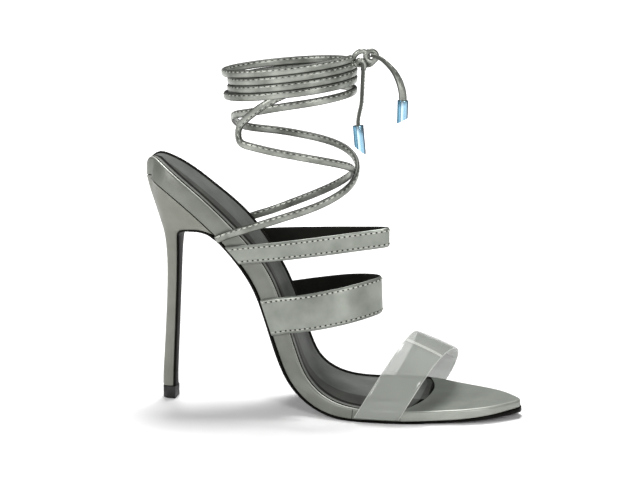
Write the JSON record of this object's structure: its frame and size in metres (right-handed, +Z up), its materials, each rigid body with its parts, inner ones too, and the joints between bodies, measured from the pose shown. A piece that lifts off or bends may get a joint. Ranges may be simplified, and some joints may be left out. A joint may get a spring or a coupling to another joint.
{
  "type": "heeled sandal",
  "caption": "Right stiletto sandal with a pointed open toe, a clear vamp strap, two grey straps over the foot, and laces crossed and wound round the ankle to a knot with metal-tipped ends.",
  "frame": {"origin": "middle of the heel tip's ground face", "axes": "+X to the toe, -Y the outer side of the foot, +Z up; heel tip and forefoot both rest on Z = 0"},
  "size_m": [0.196, 0.0757, 0.1868],
  "materials": {
    "satin_leather": "grey satin leather, faint sheen",
    "satin_lace": "flat folded and stitched lace",
    "sock_fabric": "dark grey soft lining leather, matt",
    "black_sole": "smooth black sole leather",
    "black_tip": "moulded black top piece",
    "clear_strap": "clear soft sheet",
    "blue_metal": "pale blue mirror metal"
  },
  "bodies": {
    "root": {"outsole": "black_sole", "footbed": "satin_leather", "sock": "sock_fabric", "heel": "satin_leather", "heel_tip": "black_tip", "strap_vamp": "clear_strap", "strap_instep": "satin_leather", "strap_upper": "satin_leather", "ankle_wrap": "satin_lace", "knot": "satin_lace", "lace_end_front": "satin_lace", "lace_end_side": "satin_lace", "aglet_front": "blue_metal", "aglet_side": "blue_metal"}
  },
  "joints": []
}
